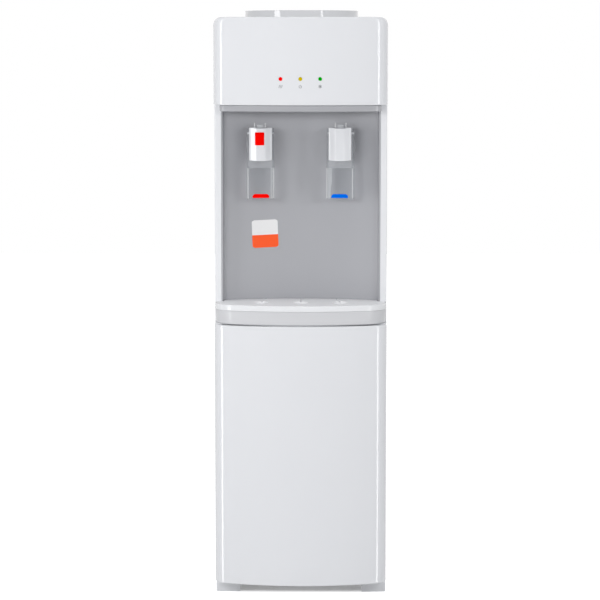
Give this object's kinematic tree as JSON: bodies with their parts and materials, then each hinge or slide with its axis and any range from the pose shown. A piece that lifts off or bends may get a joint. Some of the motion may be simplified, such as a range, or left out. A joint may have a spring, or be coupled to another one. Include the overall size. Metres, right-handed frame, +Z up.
{
  "type": "water cooler",
  "caption": "Free-standing white water cooler: bottle collar on top, hot and cold cup-lever taps over a drip tray, and a bowed cabinet door below.",
  "frame": {"origin": "on the floor under the middle of the overall box", "axes": "+Z up, -Y to the front (taps), +X to the viewer's right"},
  "size_m": [0.29, 0.33, 0.99],
  "materials": {
    "gloss_white": "glossy white ABS",
    "paint_white": "white powder coat",
    "white_plastic": "satin white moulding",
    "satin_grey": "mid-grey satin ABS",
    "collar_grey": "light grey ABS",
    "clear": "clear polycarbonate",
    "red": "bright red",
    "blue": "bright blue",
    "yellow": "yellow lamp lens",
    "green": "green lens",
    "black": "black nylon",
    "rubber_black": "black rubber",
    "black_enamel": "black enamel",
    "steel": "stainless steel",
    "zinc_sheet": "zinc-plated sheet steel",
    "copper": "copper tube",
    "foam": "closed-cell foam",
    "board_green": "circuit board",
    "hose": "milky silicone"
  },
  "bodies": {
    "cooler_body": {"base_pan": "white_plastic", "right_side_panel": "paint_white", "left_side_panel": "paint_white", "back_panel": "zinc_sheet", "cabinet_liner": "white_plastic", "door_catch": "black", "shelf_deck": "paint_white", "recess_panel": "satin_grey", "recess_hood": "satin_grey", "hot_tap_body": "gloss_white", "hot_tap_nut": "gloss_white", "cold_tap_body": "gloss_white", "cold_tap_nut": "gloss_white", "head_fascia": "gloss_white", "hot_lamp": "red", "power_lamp": "yellow", "cold_lamp": "green", "lamp_board": "board_green", "top_cover": "gloss_white", "cold_tank": "steel", "evaporator_coil": "copper", "tank_insulation": "foam", "tank_lid": "gloss_white", "cold_tank_bracket": "zinc_sheet", "hot_tank": "steel", "band_heater": "steel", "thermostat": "black", "hot_tank_bracket": "zinc_sheet", "compressor": "black_enamel", "compressor_mount": "rubber_black", "condenser": "black_enamel", "condenser_hanger": "zinc_sheet", "discharge_pipe": "copper", "filter_drier": "copper", "suction_pipe": "copper", "switch_housing": "black", "power_inlet": "black", "drain_outlet": "gloss_white", "cold_hose": "hose", "hot_hose": "hose", "feed_hose": "hose", "drain_hose": "hose"},
    "hot_lever_group": {"hot_lever": "clear", "hot_lever_pad": "red", "hot_tap_cap": "gloss_white"},
    "cold_lever_group": {"cold_lever": "clear", "cold_lever_pad": "blue", "cold_tap_cap": "gloss_white"},
    "child_lock": {"child_lock_button": "red"},
    "hot_valve": {"hot_valve_plunger": "hose"},
    "cold_valve": {"cold_valve_plunger": "hose"},
    "door": {"cabinet_door": "gloss_white", "door_liner": "paint_white"},
    "tray": {"drip_tray": "gloss_white"},
    "tray_cover": {"drip_cover": "gloss_white"},
    "collar": {"bottle_collar": "collar_grey", "bottle_probe": "gloss_white"},
    "hot_switch": {"hot_switch_rocker": "red"},
    "cold_switch": {"cold_switch_rocker": "green"},
    "drain_plug": {"drain_cap": "black"}
  },
  "joints": [
    {"name": "hot_lever_swing", "type": "hinge", "parent": "cooler_body", "child": "hot_lever_group", "pos_m": [-0.06744, -0.09843, 0.785], "axis": [0.9945, 0.1045, 0], "range_deg": [0, 8], "stiffness_Nm_per_rad": 0.4, "springref_deg": -8.59},
    {"name": "hot_valve_lift", "type": "slide", "parent": "cooler_body", "child": "hot_valve", "axis": [0, 0, 1], "range_m": [0, 0.0019]},
    {"name": "cold_lever_swing", "type": "hinge", "parent": "cooler_body", "child": "cold_lever_group", "pos_m": [0.06744, -0.09843, 0.785], "axis": [0.9945, -0.1045, 0], "range_deg": [0, 8], "stiffness_Nm_per_rad": 0.4, "springref_deg": -8.59},
    {"name": "cold_valve_lift", "type": "slide", "parent": "cooler_body", "child": "cold_valve", "axis": [0, 0, 1], "range_m": [0, 0.0019]},
    {"name": "child_lock_press", "type": "slide", "parent": "hot_lever_group", "child": "child_lock", "axis": [-0.1045, 0.9945, 0], "range_m": [0, 0.002], "stiffness_N_per_m": 300, "springref_m": -0.001},
    {"name": "door_hinge", "type": "hinge", "parent": "cooler_body", "child": "door", "pos_m": [0.1385, -0.103, 0.0265], "axis": [0, 0, 1], "range_deg": [0, 105]},
    {"name": "tray_slide", "type": "slide", "parent": "cooler_body", "child": "tray", "axis": [0, -1, 0], "range_m": [0, 0.09]},
    {"name": "cover_lift", "type": "slide", "parent": "tray", "child": "tray_cover", "axis": [0, 0, 1], "range_m": [0, 0.05]},
    {"name": "collar_lift", "type": "slide", "parent": "cooler_body", "child": "collar", "axis": [0, 0, 1], "range_m": [0, 0.1]},
    {"name": "hot_switch_rock", "type": "hinge", "parent": "cooler_body", "child": "hot_switch", "pos_m": [-0.1, 0.1353, 0.85], "axis": [1, 0, 0], "range_deg": [0, 16]},
    {"name": "cold_switch_rock", "type": "hinge", "parent": "cooler_body", "child": "cold_switch", "pos_m": [-0.07, 0.1353, 0.85], "axis": [1, 0, 0], "range_deg": [0, 16]},
    {"name": "drain_cap_pull", "type": "slide", "parent": "cooler_body", "child": "drain_plug", "axis": [0, 1, 0], "range_m": [0, 0.02]}
  ],
  "couplings": [
    {"joint": "hot_valve_lift", "follows": "hot_lever_swing", "m_per_rad": 0.0135},
    {"joint": "cold_valve_lift", "follows": "cold_lever_swing", "m_per_rad": 0.0135}
  ]
}
